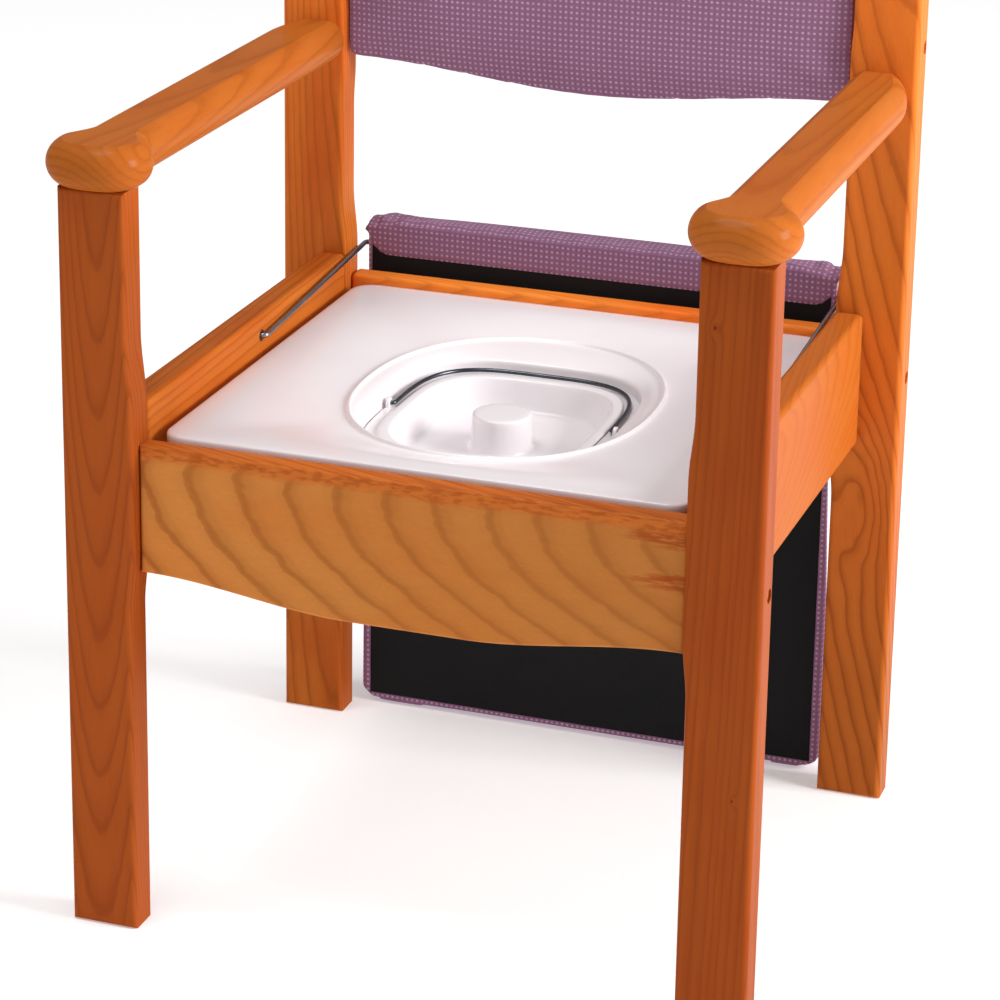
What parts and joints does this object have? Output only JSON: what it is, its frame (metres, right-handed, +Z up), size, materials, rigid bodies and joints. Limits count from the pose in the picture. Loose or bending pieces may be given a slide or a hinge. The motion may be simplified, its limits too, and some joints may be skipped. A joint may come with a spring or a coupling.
{
  "type": "commode chair",
  "caption": "Wooden commode armchair with an upholstered seat that folds over the back rail on bent steel arms, and a white seat panel with pan, lid and bail",
  "frame": {"origin": "on the floor, under the middle of the whole chair's box with the seat folded away behind", "axes": "+Z up, -Y towards the front of the chair, +X towards the chair's left-hand arm as the sitter sees it (the viewer's right)"},
  "size_m": [0.6286, 0.583, 0.886],
  "materials": {
    "pine": "satin lacquered antique pine",
    "pine_plug": "satin, end grain",
    "softwood": "bare sawn",
    "plywood": "bare board",
    "upholstery": "woven purple with small light dots",
    "under_cloth": "matt black dust cloth",
    "white_plastic": "glossy moulded",
    "rod_steel": "plain bent rod",
    "bail_steel": "dark wire",
    "screw_steel": "zinc plated",
    "nylon": "moulded"
  },
  "bodies": {
    "frame": {"armrest_left": "pine", "armrest_right": "pine", "backrest_back_cover": "upholstery", "backrest_board": "plywood", "backrest_cushion": "upholstery", "batten_front": "softwood", "batten_left": "softwood", "batten_rear": "softwood", "batten_right": "softwood", "corner_block_front_left": "softwood", "corner_block_front_right": "softwood", "corner_block_rear_left": "softwood", "corner_block_rear_right": "softwood", "front_leg_left": "pine", "front_leg_right": "pine", "front_rail": "pine", "pivot_bush_left": "nylon", "pivot_bush_right": "nylon", "plug_back_lower_left": "pine_plug", "plug_back_lower_right": "pine_plug", "plug_back_upper_left": "pine_plug", "plug_back_upper_right": "pine_plug", "plug_front_rail_left": "pine_plug", "plug_front_rail_right": "pine_plug", "plug_rear_rail_left": "pine_plug", "plug_rear_rail_right": "pine_plug", "rear_leg_left": "pine", "rear_leg_right": "pine", "rear_rail": "pine", "screw_back_lower_left": "screw_steel", "screw_back_lower_right": "screw_steel", "screw_back_upper_left": "screw_steel", "screw_back_upper_right": "screw_steel", "screw_front_rail_left": "screw_steel", "screw_front_rail_right": "screw_steel", "screw_rear_rail_left": "screw_steel", "screw_rear_rail_right": "screw_steel", "side_rail_left": "pine", "side_rail_right": "pine"},
    "swing_arms": {"swing_arm_left": "rod_steel", "swing_arm_right": "rod_steel"},
    "folding_seat": {"seat_cushion": "upholstery", "seat_base_board": "plywood", "seat_under_cloth": "under_cloth"},
    "panel": {"seat_panel": "white_plastic"},
    "pan": {"pan": "white_plastic"},
    "lid": {"pan_lid": "white_plastic"},
    "bail": {"bail_handle": "bail_steel"}
  },
  "joints": [
    {"name": "seat_arms_swing", "type": "hinge", "parent": "frame", "child": "swing_arms", "pos_m": [0, 0.0005, 0.4555], "axis": [1, 0, 0], "range_deg": [0, 175.4]},
    {"name": "seat_turn", "type": "hinge", "parent": "swing_arms", "child": "folding_seat", "pos_m": [0, 0.2495, 0.474], "axis": [1, 0, 0], "range_deg": [-85.5, 0]},
    {"name": "panel_lift", "type": "slide", "parent": "frame", "child": "panel", "axis": [0, 0, 1], "range_m": [0, 0.2035]},
    {"name": "pan_lift", "type": "slide", "parent": "panel", "child": "pan", "axis": [0, 0, 1], "range_m": [0, 0.21]},
    {"name": "lid_lift", "type": "slide", "parent": "pan", "child": "lid", "axis": [0, 0, 1], "range_m": [0, 0.125]},
    {"name": "bail_swing", "type": "hinge", "parent": "pan", "child": "bail", "pos_m": [0, -0.0275, 0.4186], "axis": [1, 0, 0], "range_deg": [0, 180]}
  ],
  "couplings": [
    {"joint": "seat_turn", "follows": "seat_arms_swing", "ratio": -0.48691}
  ]
}
